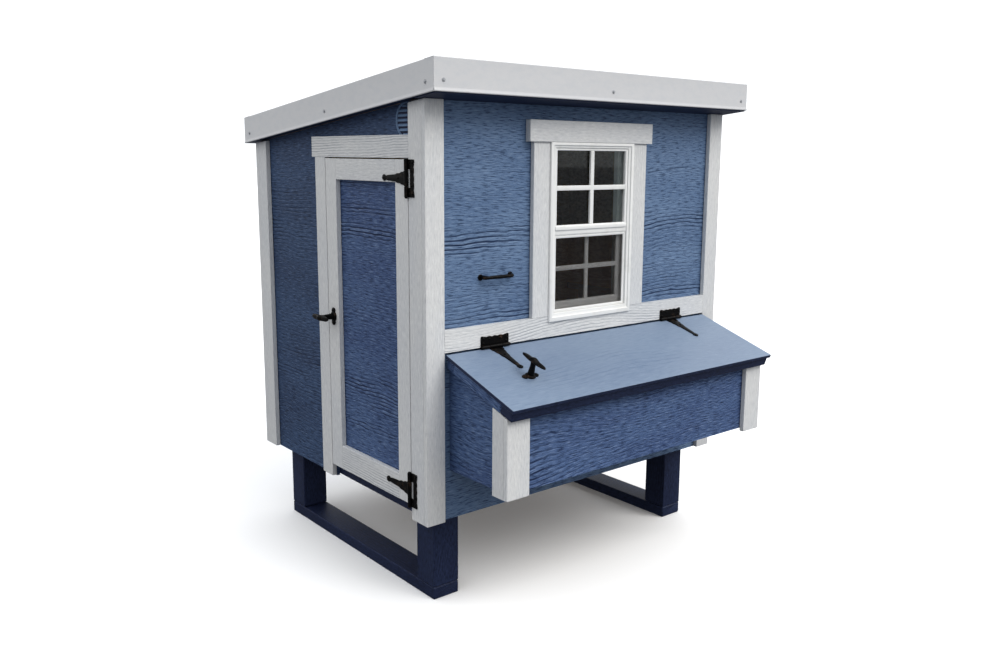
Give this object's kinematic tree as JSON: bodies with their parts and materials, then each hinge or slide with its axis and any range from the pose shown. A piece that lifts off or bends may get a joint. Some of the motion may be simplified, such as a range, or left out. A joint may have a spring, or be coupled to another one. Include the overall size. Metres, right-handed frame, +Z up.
{
  "type": "chicken coop",
  "caption": "Raised timber hen house on skids with a hinged door, sash window, lidded nest box, drop-down hen ramp and a sloping metal roof.",
  "frame": {"origin": "middle of the whole object's box, on the ground under the skids", "axes": "+Z up; -Y towards the window and nest box front; -X towards the keeper's door; +X towards the hen ramp"},
  "size_m": [1.336, 1.37, 1.5415],
  "materials": {
    "siding_paint": "embossed cedar-grain siding sheet, steel-blue satin paint",
    "navy_paint": "sawn timber, dark navy satin paint",
    "lid_paint": "faint embossed grain, light steel-blue satin paint",
    "white_paint": "embossed grain trim board, white satin paint",
    "white_vinyl": "extruded white vinyl",
    "glass": "clear float glass",
    "screen_mesh": "dark woven insect screen",
    "raw_wood": "unpainted softwood and plywood",
    "roof_metal": "white-grey coated sheet steel, folded",
    "zinc": "zinc plated",
    "black_iron": "black powder coat, worn to bronze on the edges"
  },
  "bodies": {
    "house": {"skid_left": "navy_paint", "skid_right": "navy_paint", "posts_left": "navy_paint", "posts_right": "navy_paint", "floor_frame": "navy_paint", "floor_board": "raw_wood", "wall_frame_front": "raw_wood", "wall_frame_back": "raw_wood", "wall_frame_left": "raw_wood", "wall_frame_right": "raw_wood", "siding_front": "siding_paint", "siding_back": "siding_paint", "siding_left": "siding_paint", "siding_right": "siding_paint", "corner_boards_front": "white_paint", "corner_boards_back": "white_paint", "band_board": "white_paint", "vent_louvres": "siding_paint", "rafters": "raw_wood", "sub_fascia": "navy_paint", "soffit_board": "navy_paint", "roof_deck": "raw_wood", "roof_sheet": "roof_metal", "roof_trim": "roof_metal", "roof_screws": "zinc", "roost_bars": "raw_wood", "roost_cleats": "raw_wood", "window_casing": "white_paint", "window_frame": "white_vinyl", "window_upper_sash": "white_vinyl", "window_upper_glass": "glass", "window_screen": "screen_mesh", "pull_handle": "black_iron", "door_casing": "white_paint", "hinge_pins": "black_iron", "door_hinge_plates": "black_iron", "nest_box": "siding_paint", "nest_corner_boards": "white_paint", "nest_dividers": "raw_wood", "lid_hinge_plates": "black_iron", "ramp_casing": "white_paint", "ramp_hinge_plates": "black_iron"},
    "lower_sash": {"window_lower_sash": "white_vinyl", "window_lower_glass": "glass"},
    "door": {"door_panel": "siding_paint", "door_boards": "white_paint", "door_hinge_straps": "black_iron", "door_handle_base": "black_iron"},
    "door_handle": {"door_handle": "black_iron", "door_cam": "zinc"},
    "lid": {"lid_panel": "lid_paint", "lid_frame": "navy_paint", "lid_hinge_straps": "black_iron", "lid_handle_base": "black_iron"},
    "lid_handle": {"lid_handle": "black_iron", "lid_cam": "zinc"},
    "ramp": {"ramp_panel": "siding_paint", "ramp_hinge_straps": "black_iron"},
    "ramp_button": {"ramp_button": "navy_paint"}
  },
  "joints": [
    {"name": "door_swing", "type": "hinge", "parent": "house", "child": "door", "pos_m": [-0.6159, -0.307, 0.789], "axis": [0, 0, 1], "range_deg": [0, 115]},
    {"name": "door_handle_turn", "type": "hinge", "parent": "door", "child": "door_handle", "pos_m": [-0.61, 0.122, 0.791], "axis": [-1, 0, 0], "range_deg": [0, 90]},
    {"name": "lid_lift", "type": "hinge", "parent": "house", "child": "lid", "pos_m": [0.0155, -0.3939, 0.75027], "axis": [-1, 0, 0], "range_deg": [0, 85]},
    {"name": "lid_handle_turn", "type": "hinge", "parent": "lid", "child": "lid_handle", "pos_m": [-0.376, -0.5552, 0.69103], "axis": [0, -0.3123, 0.95], "range_deg": [0, 90]},
    {"name": "sash_lift", "type": "slide", "parent": "house", "child": "lower_sash", "axis": [0, 0, 1], "range_m": [0, 0.2]},
    {"name": "ramp_drop", "type": "hinge", "parent": "house", "child": "ramp", "pos_m": [0.6469, 0.197, 0.2945], "axis": [0, 1, 0], "range_deg": [0, 126]},
    {"name": "ramp_button_turn", "type": "hinge", "parent": "house", "child": "ramp_button", "pos_m": [0.647, 0.197, 0.821], "axis": [1, 0, 0], "range_deg": [0, 90]}
  ]
}
